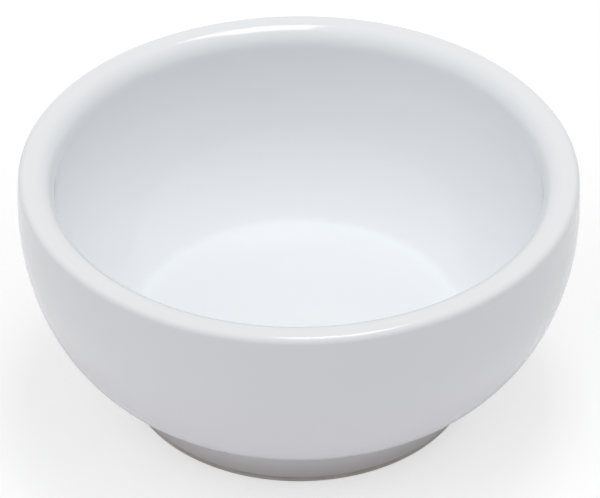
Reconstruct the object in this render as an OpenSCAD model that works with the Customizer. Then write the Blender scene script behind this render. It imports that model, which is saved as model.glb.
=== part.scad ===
// Soy sauce dish: a small, deep, thick-walled porcelain dish on a recessed foot ring.
// Every piece is turned about the upright axis of the dish. Lengths are in millimetres.
// The origin is the centre of the circle on which the foot ring stands.

/* [Dish] */
// Diameter across the widest part of the wall
dish_d = 80; // [66:1:120]
// Height from the table to the top of the lip
dish_h = 37; // [30:0.5:56]

/* [Wall and lip] */
// Thickness of the wall at its widest line, glaze included
wall_t = 5.2; // [4:0.1:7]
// Depth of the wall's widest line below the top of the lip
widest_drop = 5.5; // [4.5:0.1:10]
// Radius of the wall's inward curve above its widest line
lean_r = 60; // [24:1:90]
// Radius of the lip's outer edge
lip_edge_r = 1; // [0.7:0.05:1.6]
// Width of the level land on top of the lip
lip_land = 1.1; // [0.4:0.1:2]

/* [Bowl] */
// Height of the inside floor above the table
floor_h = 10.4; // [8:0.1:14]
// Radius of the turn from the floor into the wall
floor_turn_r = 1.5; // [1:0.5:10]
// Diameter at which the bowl's curve would come level
bowl_d = 30; // [20:1:44]
// How far below the floor the bowl's curve would come level
bowl_dip = 2.3; // [0.6:0.1:3]

/* [Belly] */
// Height above the table at which the belly's curve would come level
belly_h = 5.6; // [3:0.1:6.5]
// How far inside the foot ring's outer side the belly's curve would come level
belly_lap = 2.9; // [1:0.1:8]

/* [Foot ring] */
// Outer diameter of the foot ring
foot_d = 50.6; // [44:0.2:58]
// Width of the foot ring
foot_w = 4; // [3:0.1:8]
// Depth of the hollow under the base
hollow_h = 4; // [2:0.1:6]
// Radius of the turn from the foot ring into the belly
foot_turn_r = 1.5; // [0.6:0.1:2.5]
// Radius of the foot ring's bottom edges
foot_edge_r = 0.5; // [0.2:0.05:0.6]

/* [Glaze] */
// Thickness of the glaze
glaze_t = 0.3; // [0.15:0.05:0.6]
// Height of the bare porcelain band on the foot ring
bare_h = 1; // [0.6:0.1:1.5]

/* [Hidden] */
$fn = 96;

// Farthest that the straight pieces of a curved stretch lie from its true curve
curve_sag = 0.01;
// Halvings in the search for the place where two curved stretches touch
halvings = 32;
bare_colour = [0.85, 0.83, 0.79];
glaze_colour = [0.93, 0.95, 0.96];

dish_r = dish_d / 2;
foot_r = foot_d / 2;
ring_in_r = foot_r - foot_w;

// The belly and the bowl are parts of quarter ellipses that start upright at the wall's widest line
widest_h = dish_h - widest_drop;
belly_r = foot_r - belly_lap;
belly_half = [dish_r - belly_r, widest_h - belly_h];
bowl_r = bowl_d / 2;
bowl_half = [dish_r - wall_t - bowl_r, widest_h - floor_h + bowl_dip];

// Above the widest line both faces of the wall lean inward on circles with one centre
lean_x = dish_r - lean_r;
inner_lean_r = lean_r - wall_t;

// The lip's outer edge touches the wall's outside and the level of the lip
lip_edge_rise = widest_drop - lip_edge_r;
lip_edge_x = lean_x + sqrt(pow(lean_r - lip_edge_r, 2) - pow(lip_edge_rise, 2));
lip_edge_a = asin(lip_edge_rise / (lean_r - lip_edge_r));

// The lip's inner turn starts at the land's inner edge and touches the wall's inside
lip_turn_x = lip_edge_x - lip_land;
lip_turn_r = (pow(lip_turn_x - lean_x, 2) + pow(widest_drop, 2) - pow(inner_lean_r, 2))
    / (2 * (inner_lean_r + widest_drop));
lip_turn_a = asin((widest_drop - lip_turn_r) / (inner_lean_r + lip_turn_r));

// Glaze stops just below this height with a round nose, and the hollow's corner begins here
glaze_line_h = bare_h + glaze_t;
hollow_turn_r = hollow_h - glaze_line_h;

// Straight pieces that a curved stretch of a radius needs to keep within its sag
function pieces(r, turn) =
    max(2, ceil(abs(turn) / (2 * acos(1 - min(curve_sag / r, 1)))));

// Points along a stretch of an ellipse with half sizes; a first of 1 leaves out the starting point
function arc(centre, half, start, end, first = 0) =
    let (count = pieces(max(half), end - start))
    [for (i = [first:count])
        let (angle = start + (end - start) * i / count)
        [centre.x + half.x * cos(angle), centre.y + half.y * sin(angle)]];

// Points along a stretch of a circle
function round_arc(centre, r, start, end, first = 0) =
    arc(centre, [r, r], start, end, first);

function reversed(points) =
    [for (i = [len(points) - 1:-1:0]) points[i]];

// Outward direction of an ellipse at an angle below its widest line
function outward(half, angle) =
    let (slope = [cos(angle) / half.x, -sin(angle) / half.y])
    slope / norm(slope);

// Angle at which a measure that falls from 0 to 90 degrees passes zero
function crossing(measure, low = 0, high = 90, left = halvings) =
    let (middle = (low + high) / 2)
    left == 0 ? middle
    : measure(middle) > 0 ? crossing(measure, middle, high, left - 1)
    : crossing(measure, low, middle, left - 1);

// The outside from the foot ring's turn to the lip's land, set into the material by inset
function outer_face(inset) =
    let (
        half = belly_half - [inset, inset],
        turn_r = foot_turn_r + inset,
        turn_x = foot_r + foot_turn_r,
        last = crossing(function (angle) belly_r + half.x * cos(angle)
            + turn_r * outward(half, angle).x - turn_x),
        out = outward(half, last),
        turn_h = widest_h - half.y * sin(last) + turn_r * out.y
    )
    concat(
        round_arc([turn_x, turn_h], turn_r, 180, atan2(-out.y, -out.x)),
        arc([belly_r, widest_h], half, -last, 0, 1),
        round_arc([lean_x, widest_h], lean_r - inset, 0, lip_edge_a, 1),
        round_arc([lip_edge_x, dish_h - lip_edge_r], lip_edge_r - inset, lip_edge_a, 90, 1)
    );

// The inside from the lip's land to the floor's centre, set into the material by inset
function inner_face(inset) =
    let (
        half = bowl_half + [inset, inset],
        turn_r = floor_turn_r + inset,
        turn_h = floor_h + floor_turn_r,
        last = crossing(function (angle) widest_h - half.y * sin(angle)
            - turn_r * outward(half, angle).y - turn_h),
        out = outward(half, last),
        turn_x = bowl_r + half.x * cos(last) - turn_r * out.x
    )
    concat(
        round_arc([lip_turn_x, dish_h - lip_turn_r], lip_turn_r - inset, 90, 180 + lip_turn_a),
        round_arc([lean_x, widest_h], inner_lean_r + inset, lip_turn_a, 0, 1),
        arc([bowl_r, widest_h], half, 0, -last, 1),
        round_arc([turn_x, turn_h], turn_r, atan2(out.y, out.x), -90, 1),
        [[0, floor_h - inset]]
    );

// The whole glazed face of the dish above the foot ring, set into the material by inset
function dish_face(inset) =
    concat(outer_face(inset), inner_face(inset));

// The hollow under the base from its centre to the glaze line, set into the material by inset
function hollow_face(inset) =
    concat(
        [[0, hollow_h + inset]],
        round_arc([ring_in_r - hollow_turn_r, glaze_line_h], hollow_turn_r + inset, 90, 0)
    );

module turned(outline) {
    rotate_extrude() polygon(outline);
}

// Fired clay: wall, floor and foot ring in one, bare where the foot ring stands
module porcelain_body() {
    inner_x = ring_in_r + glaze_t;
    outer_x = foot_r - glaze_t;
    color(bare_colour)
        turned(concat(
            hollow_face(glaze_t),
            round_arc([inner_x + foot_edge_r, foot_edge_r], foot_edge_r, 180, 270),
            round_arc([outer_x - foot_edge_r, foot_edge_r], foot_edge_r, 270, 360),
            dish_face(glaze_t)
        ));
}

// Glaze over the outside, the lip and the whole inside
module glaze_coat() {
    color(glaze_colour)
        turned(concat(
            round_arc([foot_r - glaze_t, glaze_line_h], glaze_t, 270, 360),
            dish_face(0),
            reversed(dish_face(glaze_t))
        ));
}

// Glaze in the hollow under the base
module base_glaze() {
    color(glaze_colour)
        turned(concat(
            hollow_face(0),
            round_arc([ring_in_r + glaze_t, glaze_line_h], glaze_t, 180, 270, 1),
            reversed(hollow_face(glaze_t))
        ));
}

porcelain_body();
glaze_coat();
base_glaze();
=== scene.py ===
"""Soy sauce dish: its glaze and bare porcelain, with a studio to look at it in. Lengths are in metres."""

import logging
import math
from dataclasses import dataclass
from enum import Enum
from typing import Any, Callable, Union

import bpy
import numpy as np
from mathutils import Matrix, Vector, noise


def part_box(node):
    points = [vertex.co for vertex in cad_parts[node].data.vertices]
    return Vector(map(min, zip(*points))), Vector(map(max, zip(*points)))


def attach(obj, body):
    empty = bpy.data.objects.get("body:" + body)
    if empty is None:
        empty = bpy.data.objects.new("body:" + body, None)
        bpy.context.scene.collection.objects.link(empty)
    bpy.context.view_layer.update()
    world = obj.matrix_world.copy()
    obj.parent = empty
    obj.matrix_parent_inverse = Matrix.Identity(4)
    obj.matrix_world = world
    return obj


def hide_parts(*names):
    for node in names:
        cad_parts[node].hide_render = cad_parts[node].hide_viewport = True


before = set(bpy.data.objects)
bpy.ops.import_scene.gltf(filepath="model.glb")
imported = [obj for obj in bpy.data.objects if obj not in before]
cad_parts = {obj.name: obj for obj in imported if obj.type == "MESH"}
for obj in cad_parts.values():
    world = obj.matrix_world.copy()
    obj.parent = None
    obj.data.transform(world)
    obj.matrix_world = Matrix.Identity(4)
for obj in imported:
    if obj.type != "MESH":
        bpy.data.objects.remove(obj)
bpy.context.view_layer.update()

log = logging.getLogger("soy_sauce_dish")

Point = tuple[float, float]
Colour = tuple[float, float, float, float]
Value = Union["Wire", float, Colour, tuple[float, float, float]]

BODY = "root"
QUARTER_TURN = math.pi / 2
HALF_TURN = math.pi
THREE_QUARTERS = 1.5 * math.pi
FULL_TURN = 2 * math.pi
# Sharpest turn between two points of an arc, and its fewest pieces
SHARPEST_TURN = math.radians(6)
FEWEST_PIECES = 3
# Halvings in the search for the place where two arcs touch
HALVINGS = 48
WHITE = (1.0, 1.0, 1.0, 1.0)
# Numbers of the Mix node's sockets for colours, because other sockets share their names
MIX_SHARE, MIX_FIRST, MIX_SECOND, MIX_RESULT = 0, 6, 7, 2


class Slot(Enum):
    """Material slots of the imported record."""

    WHITE_GLAZE = "white_glaze"
    BARE_PORCELAIN = "bare_porcelain"


class SolidNode(Enum):
    """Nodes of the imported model."""

    PORCELAIN_BODY = "porcelain_body"
    GLAZE_COAT = "glaze_coat"
    BASE_GLAZE = "base_glaze"


class GlazeMark(Enum):
    """Values that a glaze mesh stores for its material."""

    DEPTH = "glaze_depth"
    # Share of pooled glaze and of the painted sheen along the floor's edge
    POOL_SHEEN = "glaze_pool_sheen"
    WEAR = "glaze_wear"
    FILM = "glaze_film"


class Wire:
    """A shader socket's value, on which Python's operators add Math nodes."""

    def __init__(self, sheet: "NodeSheet", socket: bpy.types.NodeSocket) -> None:
        """Keeps the socket and the sheet that its node is on."""
        self.sheet = sheet
        self.socket = socket

    def maths(self, operation: str, *values: Value) -> "Wire":
        """Adds a Math node.

        Args:
            operation: The node's operation.
            values: Its inputs, in order.

        Returns:
            The node's result.
        """
        return self.sheet.add("ShaderNodeMath", {"operation": operation}, dict(enumerate(values)))

    def __add__(self, other: Value) -> "Wire":
        """Adds a value."""
        return self.maths("ADD", self, other)

    __radd__ = __add__

    def __sub__(self, other: Value) -> "Wire":
        """Takes a value away."""
        return self.maths("SUBTRACT", self, other)

    def __rsub__(self, other: Value) -> "Wire":
        """Is taken away from a value."""
        return self.maths("SUBTRACT", other, self)

    def __mul__(self, other: Value) -> "Wire":
        """Multiplies by a value."""
        return self.maths("MULTIPLY", self, other)

    __rmul__ = __mul__

    def __or__(self, other: Value) -> "Wire":
        """Takes the larger of two values."""
        return self.maths("MAXIMUM", self, other)

    __ror__ = __or__


class NodeSheet:
    """The node tree of one material or of the world."""

    def __init__(self, owner: Union[bpy.types.Material, bpy.types.World], output: str) -> None:
        """Clears the owner's nodes and adds its output node.

        Args:
            owner: The material or world.
            output: The type of the output node.
        """
        owner.use_nodes = True
        self.tree = owner.node_tree
        self.tree.nodes.clear()
        self.output = self.tree.nodes.new(output)

    def add(
        self,
        kind: str,
        settings: dict[str, Any],
        sockets: dict[Union[str, int], Value],
        result: Union[str, int] = 0,
    ) -> Wire:
        """Adds a node.

        Args:
            kind: The node's type.
            settings: Its properties, set before its sockets.
            sockets: Values or wires of its inputs, by name or number.
            result: The output that is wanted.

        Returns:
            That output's wire.
        """
        node = self.tree.nodes.new(kind)
        for name, value in settings.items():
            setattr(node, name, value)
        for key, value in sockets.items():
            if isinstance(value, Wire):
                self.tree.links.new(value.socket, node.inputs[key])
            else:
                node.inputs[key].default_value = value
        return Wire(self, node.outputs[result])

    def place(self) -> Wire:
        """Gives the place on the surface in the object's own frame."""
        return self.add("ShaderNodeTexCoord", {}, {}, "Object")

    def stored(self, mark: GlazeMark) -> Wire:
        """Gives a value that the mesh stores."""
        return self.add("ShaderNodeAttribute", {"attribute_name": mark.value}, {}, "Fac")

    def upward(self, vector: Wire) -> Wire:
        """Gives a vector's upward part."""
        return self.add("ShaderNodeSeparateXYZ", {}, {"Vector": vector}, "Z")

    def cloud(self, place: Wire, grain: float, detail: float = 1.0) -> Wire:
        """Adds a soft noise.

        Args:
            place: Where it is read.
            grain: Length of one grain.
            detail: Number of finer layers.

        Returns:
            Its value, from 0 to 1.
        """
        sockets = {"Vector": place, "Scale": 1 / grain, "Detail": detail}
        return self.add("ShaderNodeTexNoise", {}, sockets)

    def step(self, value: Wire, low: float, high: float) -> Wire:
        """Adds a smooth step.

        Args:
            value: What it follows.
            low: Value at which it starts to rise from 0.
            high: Value at which it reaches 1.

        Returns:
            The step's value.
        """
        sockets = {"Value": value, "From Min": low, "From Max": high}
        return self.add("ShaderNodeMapRange", {"interpolation_type": "SMOOTHSTEP"}, sockets)

    def specks(self, place: Wire, spacing: float, radius: float, kept_share: float) -> Wire:
        """Adds round specks, scattered unevenly.

        Args:
            place: Where they are read.
            spacing: Usual distance between two places for a speck.
            radius: Radius of a speck.
            kept_share: Share of the places that hold one.

        Returns:
            A mask, 1 in the middle of a speck.
        """
        cells = {"Vector": place, "Scale": 1 / spacing}
        distance = self.add("ShaderNodeTexVoronoi", {}, cells, "Distance")
        lot = self.add("ShaderNodeTexVoronoi", {}, cells, "Color")
        chance = self.add("ShaderNodeSeparateColor", {}, {"Color": lot}, "Red")
        kept = chance.maths("LESS_THAN", chance, kept_share)
        edge = radius / spacing
        return (1 - self.step(distance, edge / 2, edge)) * kept

    def blend(self, share: Wire, first: Value, second: Value) -> Wire:
        """Mixes two colours.

        Args:
            share: Share of the second colour.
            first: Colour at a share of 0.
            second: Colour at a share of 1.

        Returns:
            The mixed colour.
        """
        sockets = {MIX_SHARE: share, MIX_FIRST: first, MIX_SECOND: second}
        return self.add("ShaderNodeMix", {"data_type": "RGBA"}, sockets, MIX_RESULT)

    def bump(self, height: Wire, depth: float = 1.0) -> Wire:
        """Adds a bump for a height in metres or, with a depth, for a height that is a share of it."""
        return self.add("ShaderNodeBump", {}, {"Height": height, "Distance": depth})

    def finish(self, surface: Wire) -> None:
        """Sends a shader to the output node."""
        self.tree.links.new(surface.socket, self.output.inputs["Surface"])


@dataclass(frozen=True)
class GlazeFinish:
    """Glossy white glaze: cooler in a pool and painted brighter there as sheen, painted shade at the foot,
    dull where rubbed or filmed over, pinholed.
    """

    pooled: Colour = (0.90, 0.925, 0.945, 1.0)
    thin: Colour = (0.89, 0.908, 0.93, 1.0)
    # Pooled glaze with a painted sheen: cooler and brighter along the floor's edge
    corner: Colour = (0.912, 0.942, 0.967, 1.0)
    # Painted shade: the glaze darkened at the foot, under the belly's shadow
    foot: Colour = (0.66, 0.625, 0.605, 1.0)
    thin_below: float = 0.5
    pooled_above: float = 1.5
    foot_shade_from: float = 0.001
    foot_shade_to: float = 0.005
    speck: Colour = (0.50, 0.47, 0.42, 1.0)
    speck_strength: float = 0.35
    speck_spacing: float = 0.0042
    speck_radius: float = 0.00016
    speck_share: float = 0.05
    cloud_grain: float = 0.018
    cloud_middle: float = 0.5
    cloud_strength: float = 0.25
    cloud_layers: float = 2.0
    least_roughness: float = 0.05
    roughness_spread: float = 0.07
    roughness_grain: float = 0.006
    worn_roughness: float = 0.10
    worn_spread: float = 0.05
    worn_grain: float = 0.0025
    ripple_grain: float = 0.0032
    ripple_depth: float = 0.000004
    pinhole_depth: float = 0.00003
    index: float = 1.5
    film_gloss: float = 0.0

    def material(self) -> bpy.types.Material:
        """Makes the material.

        Returns:
            The material, which reads what its mesh stores of the glaze's depth, pool with its painted sheen,
            wear and film.
        """
        material = bpy.data.materials.new(Slot.WHITE_GLAZE.value)
        sheet = NodeSheet(material, "ShaderNodeOutputMaterial")
        place = sheet.place()
        cloud = sheet.cloud(place, self.cloud_grain, self.cloud_layers) - self.cloud_middle
        depth = sheet.stored(GlazeMark.DEPTH) + cloud * self.cloud_strength
        specks = sheet.specks(place, self.speck_spacing, self.speck_radius, self.speck_share)
        ripple = sheet.cloud(place, self.ripple_grain)
        above_foot_shade = sheet.step(sheet.upward(place), self.foot_shade_from, self.foot_shade_to)
        colour = sheet.blend(sheet.step(depth, self.thin_below, self.pooled_above), self.thin, self.pooled)
        # Painted shade over the foot
        colour = sheet.blend(above_foot_shade, self.foot, colour)
        # Painted sheen and pooled glaze along the floor's edge
        colour = sheet.blend(sheet.stored(GlazeMark.POOL_SHEEN), colour, self.corner)
        roughness = sheet.cloud(place, self.roughness_grain) * self.roughness_spread + self.least_roughness
        scuffs = sheet.cloud(place, self.worn_grain, self.cloud_layers)
        wear = sheet.stored(GlazeMark.WEAR) * (scuffs * self.worn_spread + self.worn_roughness)
        relief = ripple * self.ripple_depth - specks * self.pinhole_depth
        looks = {
            "Base Color": sheet.blend(specks * self.speck_strength, colour, self.speck),
            "Roughness": roughness + wear,
            "IOR": self.index,
            "Normal": sheet.bump(relief),
        }
        clean = sheet.add("ShaderNodeBsdfPrincipled", {}, looks)
        filmed = sheet.add("ShaderNodeBsdfPrincipled", {}, looks | {"Specular IOR Level": self.film_gloss})
        film = sheet.stored(GlazeMark.FILM)
        sheet.finish(sheet.add("ShaderNodeMixShader", {}, {0: film, 1: clean, 2: filmed}))
        return material


@dataclass(frozen=True)
class BarePorcelainFinish:
    """Unglazed fired porcelain: matt and sandy, with a tone and painted shade next to the glaze, darker at
    the very bottom where it stands.
    """

    clay: Colour = (0.72, 0.69, 0.64, 1.0)
    # A real tone next to the glaze, darkened further as painted shade over the bare band
    tone_and_shade: Colour = (0.38, 0.345, 0.315, 1.0)
    # Darker at the very bottom, where the ring stands
    bottom_dark: Colour = (0.40, 0.38, 0.36, 1.0)
    grit: Colour = (0.24, 0.21, 0.18, 1.0)
    tone_and_shade_from: float = 0.0001
    tone_and_shade_to: float = 0.0012
    tone_and_shade_strength: float = 1.3
    bottom_dark_to: float = 0.00012
    bottom_dark_strength: float = 0.6
    patch_grain: float = 0.004
    patch_layers: float = 3.0
    sand_grain: float = 0.00035
    sand_layers: float = 2.0
    sand_depth: float = 0.00004
    grit_spacing: float = 0.0012
    grit_radius: float = 0.00014
    grit_share: float = 0.22
    least_roughness: float = 0.62
    roughness_spread: float = 0.3

    def material(self) -> bpy.types.Material:
        """Makes the material.

        Returns:
            The material.
        """
        material = bpy.data.materials.new(Slot.BARE_PORCELAIN.value)
        sheet = NodeSheet(material, "ShaderNodeOutputMaterial")
        place = sheet.place()
        height = sheet.upward(place)
        patches = sheet.cloud(place, self.patch_grain, self.patch_layers)
        sand = sheet.cloud(place, self.sand_grain, self.sand_layers)
        grit = sheet.specks(place, self.grit_spacing, self.grit_radius, self.grit_share)
        # Tone and painted shade, rising from the bottom to the glaze line
        tone_and_shade = sheet.step(height, self.tone_and_shade_from, self.tone_and_shade_to) * patches * self.tone_and_shade_strength
        # Darker at the very bottom
        bottom_dark = (1 - sheet.step(height, 0.0, self.bottom_dark_to)) * patches * self.bottom_dark_strength
        colour = sheet.blend(tone_and_shade, self.clay, self.tone_and_shade)
        colour = sheet.blend(bottom_dark, colour, self.bottom_dark)
        sheet.finish(sheet.add("ShaderNodeBsdfPrincipled", {}, {
            "Base Color": sheet.blend(grit, colour, self.grit),
            "Roughness": sand * self.roughness_spread + self.least_roughness,
            "Normal": sheet.bump(sand - grit, self.sand_depth),
        }))
        return material


@dataclass(frozen=True)
class DishShape:
    """Outlines of the dish as radius and height pairs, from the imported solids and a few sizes."""

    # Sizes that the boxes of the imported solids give
    dish_r: float
    dish_h: float
    glaze_t: float
    bare_h: float
    ring_in_r: float
    hollow_h: float
    # The solids' other sizes
    foot_w: float = 0.004
    wall_t: float = 0.0052
    widest_drop: float = 0.0055
    lean_r: float = 0.06
    lip_edge_r: float = 0.001
    lip_land: float = 0.0011
    floor_h: float = 0.0104
    floor_turn_r: float = 0.0015
    bowl_r: float = 0.015
    bowl_dip: float = 0.0023
    belly_h: float = 0.0056
    belly_lap: float = 0.0029
    foot_turn_r: float = 0.0015
    foot_edge_r: float = 0.0005

    @classmethod
    def from_frame(cls) -> "DishShape":
        """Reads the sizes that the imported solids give.

        Returns:
            The shape.
        """
        coat_low, coat_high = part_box(SolidNode.GLAZE_COAT.value)
        body_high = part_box(SolidNode.PORCELAIN_BODY.value)[1]
        base_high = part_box(SolidNode.BASE_GLAZE.value)[1]
        glaze_t = coat_high.x - body_high.x
        return cls(
            dish_r=coat_high.x,
            dish_h=coat_high.z,
            glaze_t=glaze_t,
            bare_h=coat_low.z,
            ring_in_r=base_high.x - glaze_t,
            hollow_h=base_high.z - glaze_t,
        )

    @property
    def foot_r(self) -> float:
        """Outer radius of the foot ring."""
        return self.ring_in_r + self.foot_w

    @property
    def widest_h(self) -> float:
        """Height of the wall's widest line."""
        return self.dish_h - self.widest_drop

    @property
    def glaze_line_h(self) -> float:
        """Height at which the glaze's rounded end begins."""
        return self.bare_h + self.glaze_t

    @staticmethod
    def arc(centre: Point, half: Point, start: float, end: float, step: float) -> list[Point]:
        """Places points along a stretch of an ellipse.

        Args:
            centre: Its centre.
            half: Its half sizes.
            start: Angle of the first point.
            end: Angle of the last point.
            step: Longest distance between two points.

        Returns:
            The points.
        """
        turn = abs(end - start)
        count = max(FEWEST_PIECES, math.ceil(turn * max(half) / step), math.ceil(turn / SHARPEST_TURN))
        angles = np.linspace(start, end, count + 1)
        return [(centre[0] + half[0] * math.cos(a), centre[1] + half[1] * math.sin(a)) for a in angles]

    @staticmethod
    def line(start: Point, end: Point, step: float) -> list[Point]:
        """Places points along a straight stretch, without its first point.

        Args:
            start: Where it starts.
            end: Where it ends.
            step: Longest distance between two points.

        Returns:
            The points.
        """
        count = max(1, math.ceil(math.dist(start, end) / step))
        shares = [(i + 1) / count for i in range(count)]
        return [(start[0] + (end[0] - start[0]) * s, start[1] + (end[1] - start[1]) * s) for s in shares]

    @staticmethod
    def outward(half: Point, angle: float) -> Point:
        """Gives an ellipse's outward direction at an angle below its widest line.

        Args:
            half: The ellipse's half sizes.
            angle: The angle.

        Returns:
            The direction.
        """
        across, up = math.cos(angle) / half[0], -math.sin(angle) / half[1]
        length = math.hypot(across, up)
        return across / length, up / length

    @staticmethod
    def crossing(measure: Callable[[float], float]) -> float:
        """Finds the angle in a quarter turn at which a falling measure passes zero.

        Args:
            measure: The measure of an angle.

        Returns:
            The angle.
        """
        low, high = 0.0, QUARTER_TURN
        for _ in range(HALVINGS):
            middle = (low + high) / 2
            if measure(middle) > 0:
                low = middle
            else:
                high = middle
        return low

    def lip_edge(self) -> tuple[Point, float]:
        """Places the lip's outer edge.

        Returns:
            Its centre and the angle at which it leaves the wall.
        """
        rise = self.widest_drop - self.lip_edge_r
        reach = self.lean_r - self.lip_edge_r
        centre = (self.dish_r - self.lean_r + math.sqrt(reach**2 - rise**2), self.dish_h - self.lip_edge_r)
        return centre, math.asin(rise / reach)

    def outer_face(self, inset: float, step: float) -> list[Point]:
        """Draws the outside from the foot ring's turn to the lip's land.

        Args:
            inset: How far inside the glaze's surface it lies.
            step: Longest distance between two points.

        Returns:
            The points, from the foot up.
        """
        belly_r = self.foot_r - self.belly_lap
        half = (self.dish_r - belly_r - inset, self.widest_h - self.belly_h - inset)
        turn_r = self.foot_turn_r + inset
        turn_x = self.foot_r + self.foot_turn_r

        def too_far(angle: float) -> float:
            """Tells how far too far out the turn's centre lies, if it touches the belly at an angle."""
            return belly_r + half[0] * math.cos(angle) + turn_r * self.outward(half, angle)[0] - turn_x

        last = self.crossing(too_far)
        out = self.outward(half, last)
        turn_h = self.widest_h - half[1] * math.sin(last) + turn_r * out[1]
        turn = (turn_r, turn_r)
        edge, edge_angle = self.lip_edge()
        edge_r = self.lip_edge_r - inset
        lean = (self.lean_r - inset, self.lean_r - inset)
        return (
            self.arc((turn_x, turn_h), turn, HALF_TURN, math.atan2(-out[1], -out[0]), step)
            + self.arc((belly_r, self.widest_h), half, -last, 0, step)[1:]
            + self.arc((self.dish_r - self.lean_r, self.widest_h), lean, 0, edge_angle, step)[1:]
            + self.arc(edge, (edge_r, edge_r), edge_angle, QUARTER_TURN, step)[1:]
        )

    def inner_face(self, inset: float, step: float) -> list[Point]:
        """Draws the inside from the lip's land to the floor's centre.

        Args:
            inset: How far inside the glaze's surface it lies.
            step: Longest distance between two points.

        Returns:
            The points, from the lip down.
        """
        lean_x = self.dish_r - self.lean_r
        wall_r = self.lean_r - self.wall_t
        start_x = self.lip_edge()[0][0] - self.lip_land
        lip_r = (start_x - lean_x) ** 2 + self.widest_drop**2 - wall_r**2
        lip_r /= 2 * (wall_r + self.widest_drop)
        lip_angle = math.asin((self.widest_drop - lip_r) / (wall_r + lip_r))
        half = (
            self.dish_r - self.wall_t - self.bowl_r + inset,
            self.widest_h - self.floor_h + self.bowl_dip + inset,
        )
        turn_r = self.floor_turn_r + inset
        turn_h = self.floor_h + self.floor_turn_r

        def too_high(angle: float) -> float:
            """Tells how far above its place the turn's centre lies, if it touches the wall at an angle."""
            touch_h = self.widest_h - half[1] * math.sin(angle)
            return touch_h - turn_r * self.outward(half, angle)[1] - turn_h

        last = self.crossing(too_high)
        out = self.outward(half, last)
        turn_x = self.bowl_r + half[0] * math.cos(last) - turn_r * out[0]
        turn = (turn_r, turn_r)
        lip = (lip_r - inset, lip_r - inset)
        wall = (wall_r + inset, wall_r + inset)
        points = (
            self.arc((start_x, self.dish_h - lip_r), lip, QUARTER_TURN, HALF_TURN + lip_angle, step)
            + self.arc((lean_x, self.widest_h), wall, lip_angle, 0, step)[1:]
            + self.arc((self.bowl_r, self.widest_h), half, 0, -last, step)[1:]
            + self.arc((turn_x, turn_h), turn, math.atan2(out[1], out[0]), -QUARTER_TURN, step)[1:]
        )
        return points + self.line(points[-1], (0.0, self.floor_h - inset), step)

    def dish_face(self, inset: float, step: float) -> list[Point]:
        """Draws the whole glazed face above the foot ring.

        Args:
            inset: How far inside the glaze's surface it lies.
            step: Longest distance between two points.

        Returns:
            The points, from the foot over the lip to the floor's centre.
        """
        outside = self.outer_face(inset, step)
        inside = self.inner_face(inset, step)
        return outside + self.line(outside[-1], inside[0], step) + inside[1:]

    def hollow_face(self, inset: float, step: float) -> list[Point]:
        """Draws the hollow under the base.

        Args:
            inset: How far inside the glaze's surface it lies.
            step: Longest distance between two points.

        Returns:
            The points, from the centre to the glaze line.
        """
        corner_r = self.hollow_h - self.glaze_line_h
        centre = (self.ring_in_r - corner_r, self.glaze_line_h)
        half = (corner_r + inset, corner_r + inset)
        corner = self.arc(centre, half, QUARTER_TURN, 0, step)
        middle = (0.0, self.hollow_h + inset)
        return [middle] + self.line(middle, corner[0], step) + corner[1:]


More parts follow.
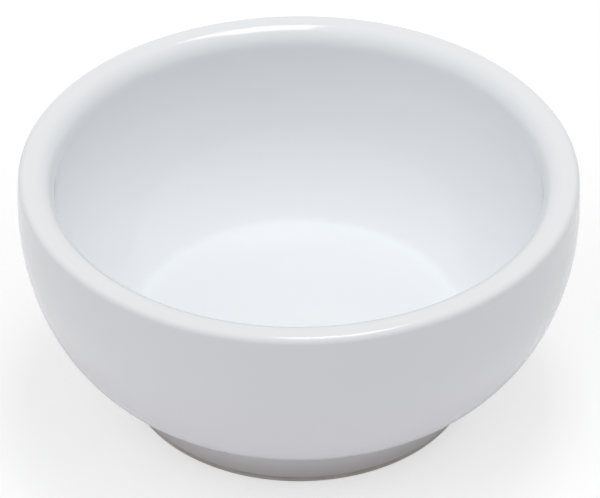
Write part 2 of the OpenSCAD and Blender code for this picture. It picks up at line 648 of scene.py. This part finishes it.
@dataclass(frozen=True)
class FiredTurning:
    """Turns outlines into meshes, with the slight unevenness of a dish that has been through a kiln."""

    height: float
    segments: int = 288
    oval: float = 0.00012
    oval_waves: int = 2
    oval_angle: float = 0.6
    lip_fall: float = 0.00014
    lip_fall_waves: int = 3
    pole_r: float = 1e-7

    @property
    def angles(self) -> np.ndarray:
        """Angle of each segment about the axis."""
        return np.arange(self.segments) * FULL_TURN / self.segments

    @staticmethod
    def waves(angles: np.ndarray, count: int) -> np.ndarray:
        """Gives a wave about the axis, from 0 to 1."""
        return (1 + np.cos(count * angles)) / 2

    def turn(
        self,
        name: str,
        outline: list[Point],
        relief: np.ndarray,
        lift: Union[np.ndarray, float] = 0.0,
    ) -> bpy.types.Object:
        """Turns a closed outline about the upright axis.

        Args:
            name: Name of the new object.
            outline: The outline's points, with the material on the left of its path.
            relief: How far each point of each row stands out from the outline.
            lift: How far each point of each row lies above the outline.

        Returns:
            The object, smoothly shaded.
        """
        rows = np.array(outline)
        normals = self.row_normals(rows)
        angles = self.angles
        radii = rows[:, :1] + normals[:, :1] * relief
        heights = rows[:, 1:] + normals[:, 1:] * relief + lift
        share = heights / self.height
        radii = radii - self.oval * share * self.waves(angles - self.oval_angle, self.oval_waves)
        heights = heights - self.lip_fall * share**2 * self.waves(angles, self.lip_fall_waves)
        vertices: list[tuple[float, float, float]] = []
        rings: list[list[int]] = []
        for row, radius in enumerate(rows[:, 0]):
            first = len(vertices)
            if radius < self.pole_r:
                vertices.append((0.0, 0.0, float(heights[row].mean())))
                rings.append([first] * self.segments)
                continue
            across, along = radii[row] * np.cos(angles), radii[row] * np.sin(angles)
            vertices.extend(zip(across.tolist(), along.tolist(), heights[row].tolist()))
            rings.append(list(range(first, first + self.segments)))
        mesh = bpy.data.meshes.new(name)
        mesh.from_pydata(vertices, [], self.faces(rings))
        mesh.shade_smooth()
        mesh.validate()
        piece = bpy.data.objects.new(name, mesh)
        bpy.context.scene.collection.objects.link(piece)
        return piece

    @staticmethod
    def row_normals(rows: np.ndarray) -> np.ndarray:
        """Gives each point's outward direction.

        Args:
            rows: The outline's points.

        Returns:
            A unit vector for each point.
        """
        along = np.roll(rows, -1, axis=0) - np.roll(rows, 1, axis=0)
        along[rows[:, 0] <= 0, 1] = 0.0
        normals = np.stack([along[:, 1], -along[:, 0]], axis=1)
        return normals / np.linalg.norm(normals, axis=1, keepdims=True)

    def faces(self, rings: list[list[int]]) -> list[tuple[int, ...]]:
        """Joins rings of vertices into faces.

        Args:
            rings: Vertex numbers of each ring, all the same number at the axis.

        Returns:
            The faces' vertex numbers.
        """
        faces: list[tuple[int, ...]] = []
        for lower, upper in zip(rings, rings[1:] + rings[:1]):
            for i in range(self.segments):
                j = (i + 1) % self.segments
                corners = (lower[i], lower[j], upper[j], upper[i])
                face = tuple(dict.fromkeys(corners))
                if len(face) > 2:
                    faces.append(face)
        return faces

    def ripples(self, rows: np.ndarray, size: float, seed: float) -> np.ndarray:
        """Reads a soft noise around each row.

        Args:
            rows: The outline's points.
            size: Length of one ripple.
            seed: Tells one noise from another.

        Returns:
            Its value for each row and segment, from -1 to 1.
        """
        turns = [(math.cos(a) / size, math.sin(a) / size) for a in self.angles]
        values = [
            [noise.noise(Vector((r * c, r * s, z / size + seed))) for c, s in turns]
            for r, z in rows.tolist()
        ]
        return np.array(values)


@dataclass
class TurnedPiece:
    """A piece of the dish that is turned from one outline."""

    shape: DishShape
    turning: FiredTurning
    material: bpy.types.Material

    def dress(self, piece: bpy.types.Object, node: SolidNode, slot: Slot) -> bpy.types.Object:
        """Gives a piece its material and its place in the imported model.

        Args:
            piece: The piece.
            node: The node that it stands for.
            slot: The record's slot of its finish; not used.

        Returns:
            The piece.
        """
        piece.data.materials.append(self.material)
        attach(piece, BODY)
        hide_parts(node.value)
        log.info("%s: %d vertices", piece.name, len(piece.data.vertices))
        return piece


@dataclass
class PorcelainBody(TurnedPiece):
    """Fired clay body: hidden under the glaze but for the bare end of the foot ring."""

    hidden_step: float = 0.0015
    bare_step: float = 0.00015
    sand_size: float = 0.0012
    sand_depth: float = 0.00002
    sand_seed: float = 7.0

    def bare_end(self) -> list[Point]:
        """Draws the foot ring's bare end.

        Returns:
            The points, from the hollow round to the outside.
        """
        shape = self.shape
        edge_r = shape.foot_edge_r
        edge = (edge_r, edge_r)
        inner = (shape.ring_in_r + shape.glaze_t + edge_r, edge_r)
        outer = (shape.foot_r - shape.glaze_t - edge_r, edge_r)
        inner_edge = shape.arc(inner, edge, HALF_TURN, THREE_QUARTERS, self.bare_step)
        outer_edge = shape.arc(outer, edge, THREE_QUARTERS, FULL_TURN, self.bare_step)
        top = (outer_edge[-1][0], shape.glaze_line_h)
        return (
            inner_edge
            + shape.line(inner_edge[-1], outer_edge[0], self.bare_step)
            + outer_edge[1:]
            + shape.line(outer_edge[-1], top, self.bare_step)
        )

    def build(self) -> bpy.types.Object:
        """Builds and dresses the body.

        Returns:
            The piece.
        """
        hollow = self.shape.hollow_face(self.shape.glaze_t, self.hidden_step)
        bare = self.bare_end()
        covered = self.shape.dish_face(self.shape.glaze_t, self.hidden_step)
        relief = np.zeros((len(hollow) + len(bare) + len(covered), self.turning.segments))
        sand = self.turning.ripples(np.array(bare), self.sand_size, self.sand_seed)
        relief[len(hollow):len(hollow) + len(bare)] = -self.sand_depth * (1 + sand) / 2
        piece = self.turning.turn("porcelain_foot_and_wall", hollow + bare + covered, relief)
        return self.dress(piece, SolidNode.PORCELAIN_BODY, Slot.BARE_PORCELAIN)


@dataclass
class GlazeSkin(TurnedPiece):
    """A skin of glaze, with the unevenness that it had when it melted."""

    step: float = 0.0006
    hidden_step: float = 0.0015
    swell_size: float = 0.016
    swell_depth: float = 0.00003
    swell_seed: float = 0.0
    ripple_size: float = 0.005
    ripple_depth: float = 0.000006
    ripple_seed: float = 31.0
    line_wander: float = 0.0002
    line_wander_size: float = 0.005
    line_wander_reach: float = 0.001
    line_seed: float = 17.0
    edge_thinning: float = 0.0004
    edge_reach: float = 0.001
    least_thinning: float = -0.4
    most_thinning: float = 2.0

    @staticmethod
    def reach(rows: np.ndarray) -> np.ndarray:
        """Gives the length of the path up to each of its points."""
        return np.concatenate([[0.0], np.cumsum(np.hypot(*np.diff(rows, axis=0).T))])

    def melted(self, rows: np.ndarray) -> np.ndarray:
        """Gives the glaze's unevenness, always below its true face.

        Args:
            rows: The points of the face.

        Returns:
            The relief for each row and segment.
        """
        swell = self.turning.ripples(rows, self.swell_size, self.swell_seed) - 1
        ripple = self.turning.ripples(rows, self.ripple_size, self.ripple_seed) - 1
        return (swell * self.swell_depth + ripple * self.ripple_depth) / 2

    def row_depths(self, rows: np.ndarray) -> np.ndarray:
        """Works out how deep the glaze is, from how sharply its face turns.

        Args:
            rows: The points of the face.

        Returns:
            The depth against its usual one: below 1 over edges, above 1 in hollows.
        """
        along = np.gradient(rows, axis=0)
        lengths = np.hypot(along[:, 0], along[:, 1])
        heading = np.unwrap(np.arctan2(along[:, 1], along[:, 0]))
        curvature = np.gradient(heading) / lengths
        reach = self.reach(rows)
        weights = np.exp(-(((reach[:, None] - reach[None, :]) / self.edge_reach) ** 2)) * lengths
        smooth = (weights * curvature).sum(1) / weights.sum(1)
        return 1 / (1 + np.clip(smooth * self.edge_thinning, self.least_thinning, self.most_thinning))

    def uneven_line(self, end: np.ndarray, reach: np.ndarray) -> np.ndarray:
        """Lifts the skin's lower end here and there, so that the glaze line isn't quite level.

        Args:
            end: The point at that end.
            reach: How far each point of the face lies from it.

        Returns:
            The lift for each row and segment.
        """
        wander = (1 + self.turning.ripples(end[None, :], self.line_wander_size, self.line_seed)) / 2
        near = np.exp(-((reach / self.line_wander_reach) ** 2))
        return self.line_wander * near[:, None] * wander

    def skin(
        self,
        name: str,
        face: list[Point],
        back: list[Point],
        relief: np.ndarray,
        lift: np.ndarray,
    ) -> bpy.types.Object:
        """Turns a skin from the face that shows and the hidden one behind it.

        Args:
            name: Name of the new object.
            face: Points of the face that shows.
            back: Points of the hidden face, on the way back.
            relief: How far each point of the face stands out.
            lift: How far each point of the face is lifted.

        Returns:
            The object, with the glaze's depth stored in its mesh.
        """
        flat = np.zeros((len(back), self.turning.segments))
        relief, lift = np.concatenate([relief, flat]), np.concatenate([lift, flat])
        piece = self.turning.turn(name, face + back, relief, lift)
        self.store(piece, GlazeMark.DEPTH, face + back, self.row_depths(np.array(face)), 1.0)
        return piece

    def store(
        self,
        piece: bpy.types.Object,
        mark: GlazeMark,
        outline: list[Point],
        values: np.ndarray,
        hidden: float,
    ) -> None:
        """Stores a value at each vertex, which the material reads.

        Args:
            piece: The skin.
            mark: What the value says.
            outline: The skin's points.
            values: The value of each point of the face that shows.
            hidden: The value of the other points.
        """
        rows = np.concatenate([values, np.full(len(outline) - len(values), hidden)])
        counts = [1 if r < self.turning.pole_r else self.turning.segments for r, _ in outline]
        attribute = piece.data.attributes.new(mark.value, "FLOAT", "POINT")
        attribute.data.foreach_set("value", np.repeat(rows, counts).astype(np.float32))


@dataclass
class GlazeCoat(GlazeSkin):
    """The glaze over the outside, the lip and the whole inside, with a bead at its lower end."""

    bead_depth: float = 0.00009
    bead_reach: float = 0.0006
    bead_middle: float = 0.0008
    # Reach of the pool and its painted sheen along the floor's edge
    pool_sheen_width: float = 0.0105
    pool_sheen_rise: float = 0.0005
    wear_rise: float = 0.003
    film_width: float = 0.004
    film_rise: float = 0.003

    def floor_marks(self, rows: np.ndarray) -> tuple[np.ndarray, ...]:
        """Works out where glaze has pooled on the floor with a painted sheen, where it is rubbed and where a
        film has stayed.

        Args:
            rows: The points of the face.

        Returns:
            The pool with its painted sheen, the wear and the film of each point, from 0 to 1.
        """
        radius, rise = rows[:, 0], rows[:, 1] - self.shape.floor_h
        inside = np.arange(len(rows)) > rise.argmax()
        edge_r = radius[inside & (rise < self.pool_sheen_rise)].max()

        def near_edge(width: float, height: float) -> np.ndarray:
            inward = np.clip(1 - (edge_r - radius) / width, 0, 1)
            return inside * inward**2 * (3 - 2 * inward) * np.clip(1 - rise / height, 0, 1)

        wear = inside * np.clip(1 - rise / self.wear_rise, 0, 1)
        return near_edge(self.pool_sheen_width, self.pool_sheen_rise), wear, near_edge(self.film_width, self.film_rise)

    def build(self) -> bpy.types.Object:
        """Builds and dresses the coat.

        Returns:
            The piece.
        """
        shape = self.shape
        end = (shape.foot_r - shape.glaze_t, shape.glaze_line_h)
        nose = shape.arc(end, (shape.glaze_t, shape.glaze_t), THREE_QUARTERS, FULL_TURN, self.step)
        face = shape.dish_face(0.0, self.step)
        seen = nose + shape.line(nose[-1], face[0], self.step) + face[1:]
        back = shape.dish_face(shape.glaze_t, self.hidden_step)[::-1]
        rows = np.array(seen)
        reach = self.reach(rows)
        bead = self.bead_depth * np.exp(-(((reach - self.bead_middle) / self.bead_reach) ** 2))
        relief = self.melted(rows) + bead[:, None]
        lift = self.uneven_line(rows[0], reach)
        piece = self.skin("glaze_over_dish", seen, back, relief, lift)
        marks = (GlazeMark.POOL_SHEEN, GlazeMark.WEAR, GlazeMark.FILM)
        for mark, values in zip(marks, self.floor_marks(rows)):
            self.store(piece, mark, seen + back, values, 0.0)
        return self.dress(piece, SolidNode.GLAZE_COAT, Slot.WHITE_GLAZE)


@dataclass
class BaseGlaze(GlazeSkin):
    """The glaze in the hollow under the base."""

    swell_seed: float = 60.0
    ripple_seed: float = 91.0
    line_seed: float = 43.0

    def build(self) -> bpy.types.Object:
        """Builds and dresses the patch.

        Returns:
            The piece.
        """
        shape = self.shape
        face = shape.hollow_face(0.0, self.step)
        start = (shape.ring_in_r + shape.glaze_t, shape.glaze_line_h)
        nose = shape.arc(start, (shape.glaze_t, shape.glaze_t), HALF_TURN, THREE_QUARTERS, self.step)
        seen = face + nose[1:]
        back = shape.hollow_face(shape.glaze_t, self.hidden_step)[::-1]
        rows = np.array(seen)
        reach = self.reach(rows)
        lift = self.uneven_line(rows[-1], reach[-1] - reach)
        piece = self.skin("glaze_under_base", seen, back, self.melted(rows), lift)
        return self.dress(piece, SolidNode.BASE_GLAZE, Slot.WHITE_GLAZE)


@dataclass(frozen=True)
class SoftLamp:
    """A flat, level lamp that looks straight down, its length along the way the camera looks."""

    name: str
    place: tuple[float, float, float]
    width: float
    length: float
    power: float

    def build(self) -> bpy.types.Object:
        """Adds the lamp.

        Returns:
            The lamp.
        """
        light = bpy.data.lights.new(self.name, "AREA")
        light.shape = "RECTANGLE"
        light.size = self.width
        light.size_y = self.length
        light.energy = self.power
        lamp = bpy.data.objects.new(self.name, light)
        lamp.location = self.place
        lamp.visible_camera = False
        bpy.context.scene.collection.objects.link(lamp)
        return lamp


@dataclass(frozen=True)
class SoftBox:
    """A broad soft light on the tent, which lights the dish but isn't mirrored in it."""

    way: tuple[float, float, float]
    rim_cosine: float
    level: float

    def light(self, sheet: NodeSheet, way: Wire) -> Wire:
        """Adds the box's light.

        Args:
            sheet: Where the nodes go.
            way: The way in which a ray leaves.

        Returns:
            The level that it meets.
        """
        ways = {0: way, 1: self.way}
        facing = sheet.add("ShaderNodeVectorMath", {"operation": "DOT_PRODUCT"}, ways, "Value")
        return sheet.step(facing, self.rim_cosine, 1.0) * self.level


@dataclass(frozen=True)
class FloorTone:
    """How the floor looks to one kind of ray: white in the open, and darker where the dish shades it."""

    colour: Colour
    glow: float

    def shader(self, sheet: NodeSheet) -> Wire:
        """Adds the shader.

        Args:
            sheet: Where the nodes go.

        Returns:
            The shader.
        """
        lit = sheet.add("ShaderNodeBsdfDiffuse", {}, {"Color": self.colour})
        glow = sheet.add("ShaderNodeEmission", {}, {"Strength": self.glow})
        return sheet.add("ShaderNodeAddShader", {}, {0: lit, 1: glow})


@dataclass
class Studio:
    """White floor, soft light and a camera that stands where the photograph was taken from."""

    image_w_px: float = 600.0
    axis_px: float = 298.9
    focal_px: float = 4183.5
    sensor_w_mm: float = 36.0
    camera_distance: float = 0.6
    camera_elevation: float = math.radians(36.54)
    camera_clip: float = 0.006
    aim_h: float = 0.02274
    floor_r: float = 3.0
    floor_gap: float = 0.00002
    floor_seen: FloorTone = FloorTone((0.5, 0.5, 0.5, 1.0), 0.57)
    floor_mirrored: FloorTone = FloorTone(WHITE, 0.07)
    floor_bounce: FloorTone = FloorTone((0.91, 0.885, 0.915, 1.0), 0.0)
    tent_level: float = 0.49
    boxes: tuple[SoftBox, ...] = (
        SoftBox((0.646, -0.255, 0.72), 0.72, 0.73),
        SoftBox((-0.669, -0.282, 0.688), 0.72, 0.97),
    )
    lamps: tuple[SoftLamp, ...] = (
        SoftLamp("overhead", (0.085, 0.212, 1.02), 0.27, 0.6, 2.6),
    )

    def showing_rays(self, sheet: NodeSheet) -> tuple[Wire, Wire]:
        """Tells rays that show the background from rays that light the dish.

        Args:
            sheet: Where the nodes go.

        Returns:
            1 for camera rays, and 1 for glossy and transmission rays.
        """
        camera, glossy, through = (
            sheet.add("ShaderNodeLightPath", {}, {}, f"Is {kind} Ray")
            for kind in ("Camera", "Glossy", "Transmission")
        )
        return camera, glossy | through

    def floor(self) -> bpy.types.Object:
        """Adds the floor, with one tone for each kind of ray.

        Returns:
            The floor.
        """
        material = bpy.data.materials.new("studio_floor")
        sheet = NodeSheet(material, "ShaderNodeOutputMaterial")
        seen, mirrored, dull = (
            tone.shader(sheet) for tone in (self.floor_seen, self.floor_mirrored, self.floor_bounce)
        )
        camera, mirrors = self.showing_rays(sheet)
        shown = sheet.add("ShaderNodeMixShader", {}, {0: mirrors, 1: dull, 2: mirrored})
        sheet.finish(sheet.add("ShaderNodeMixShader", {}, {0: camera, 1: shown, 2: seen}))
        r, level = self.floor_r, -self.floor_gap
        corners = [(-r, -r, level), (r, -r, level), (r, r, level), (-r, r, level)]
        mesh = bpy.data.meshes.new("studio_floor")
        mesh.from_pydata(corners, [], [(0, 1, 2, 3)])
        mesh.materials.append(material)
        floor = bpy.data.objects.new("studio_floor", mesh)
        bpy.context.scene.collection.objects.link(floor)
        return floor

    def sky(self) -> None:
        """Adds the soft light of a white tent, brightest overhead."""
        world = bpy.data.worlds.new("white_tent")
        bpy.context.scene.world = world
        sheet = NodeSheet(world, "ShaderNodeOutputWorld")
        camera, mirrors = self.showing_rays(sheet)
        way = sheet.add("ShaderNodeTexCoord", {}, {}, "Generated")
        level = sheet.step(sheet.upward(way), 0.0, 1.0) * self.tent_level
        for box in self.boxes:
            level = level + box.light(sheet, way)
        light = sheet.add("ShaderNodeBackground", {}, {"Color": WHITE, "Strength": level})
        white = sheet.add("ShaderNodeBackground", {}, {"Color": WHITE, "Strength": 1.0})
        sheet.finish(sheet.add("ShaderNodeMixShader", {}, {0: camera | mirrors, 1: light, 2: white}))

    def camera(self) -> bpy.types.Object:
        """Adds the camera.

        Returns:
            The camera.
        """
        aside = (self.image_w_px / 2 - self.axis_px) * self.camera_distance / self.focal_px
        aim = Vector((aside, 0.0, self.aim_h))
        back = math.cos(self.camera_elevation) * self.camera_distance
        up = math.sin(self.camera_elevation) * self.camera_distance
        data = bpy.data.cameras.new("photo_camera")
        data.sensor_fit = "HORIZONTAL"
        data.sensor_width = self.sensor_w_mm
        data.lens = self.focal_px / self.image_w_px * self.sensor_w_mm
        data.clip_start = self.camera_clip
        camera = bpy.data.objects.new("photo_camera", data)
        camera.location = aim + Vector((0.0, -back, up))
        camera.rotation_euler = (aim - camera.location).to_track_quat("-Z", "Y").to_euler()
        bpy.context.scene.collection.objects.link(camera)
        bpy.context.scene.camera = camera
        return camera

    def build(self) -> None:
        """Builds the studio."""
        bpy.context.scene.view_settings.view_transform = "Standard"
        self.floor()
        self.sky()
        for lamp in self.lamps:
            lamp.build()
        self.camera()
        log.info("studio: %d lamps", len(self.lamps))


def main() -> None:
    """Builds the dish and the studio."""
    logging.basicConfig(level=logging.INFO, format="%(message)s")
    shape = DishShape.from_frame()
    turning = FiredTurning(shape.dish_h)
    glaze = GlazeFinish().material()
    PorcelainBody(shape, turning, BarePorcelainFinish().material()).build()
    GlazeCoat(shape, turning, glaze).build()
    BaseGlaze(shape, turning, glaze).build()
    Studio().build()


if __name__ == "__main__":
    main()
